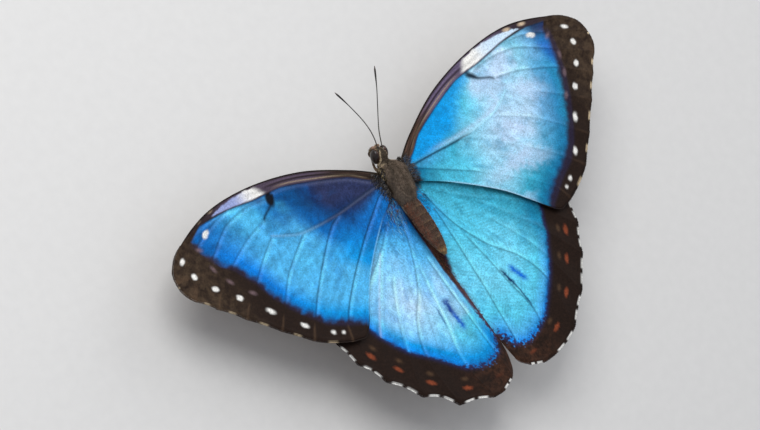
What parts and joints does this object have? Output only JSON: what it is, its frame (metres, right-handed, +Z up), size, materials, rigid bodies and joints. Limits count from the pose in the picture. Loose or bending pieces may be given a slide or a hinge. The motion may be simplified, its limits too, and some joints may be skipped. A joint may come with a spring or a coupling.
{
  "type": "blue morpho butterfly",
  "caption": "Life-size blue morpho butterfly standing with its wings spread flat, a still museum-style model with azure wings bordered in dark brown.",
  "frame": {"origin": "on the floor under the centre of the wings' box", "axes": "+X to the butterfly's right, +Y towards its head, +Z up"},
  "size_m": [0.1306, 0.075, 0.0177],
  "materials": {
    "body_hair": "short dense hair",
    "abdomen_hair": "short flat hair in rings",
    "palp_hair": "short pale scales",
    "compound_eye": "glossy",
    "cuticle": "satin",
    "leg_scales": "fine scales and bristles",
    "wing_scales": "satin, iridescent scales"
  },
  "bodies": {
    "root": {"head": "body_hair", "neck": "body_hair", "thorax": "body_hair", "abdomen": "abdomen_hair", "proboscis": "cuticle", "eye_left": "compound_eye", "palp_left": "palp_hair", "antenna_left": "cuticle", "foreleg_left": "leg_scales", "midleg_left": "leg_scales", "hindleg_left": "leg_scales", "forewing_left": "wing_scales", "hindwing_left": "wing_scales", "eye_right": "compound_eye", "palp_right": "palp_hair", "antenna_right": "cuticle", "foreleg_right": "leg_scales", "midleg_right": "leg_scales", "hindleg_right": "leg_scales", "forewing_right": "wing_scales", "hindwing_right": "wing_scales"}
  },
  "joints": []
}
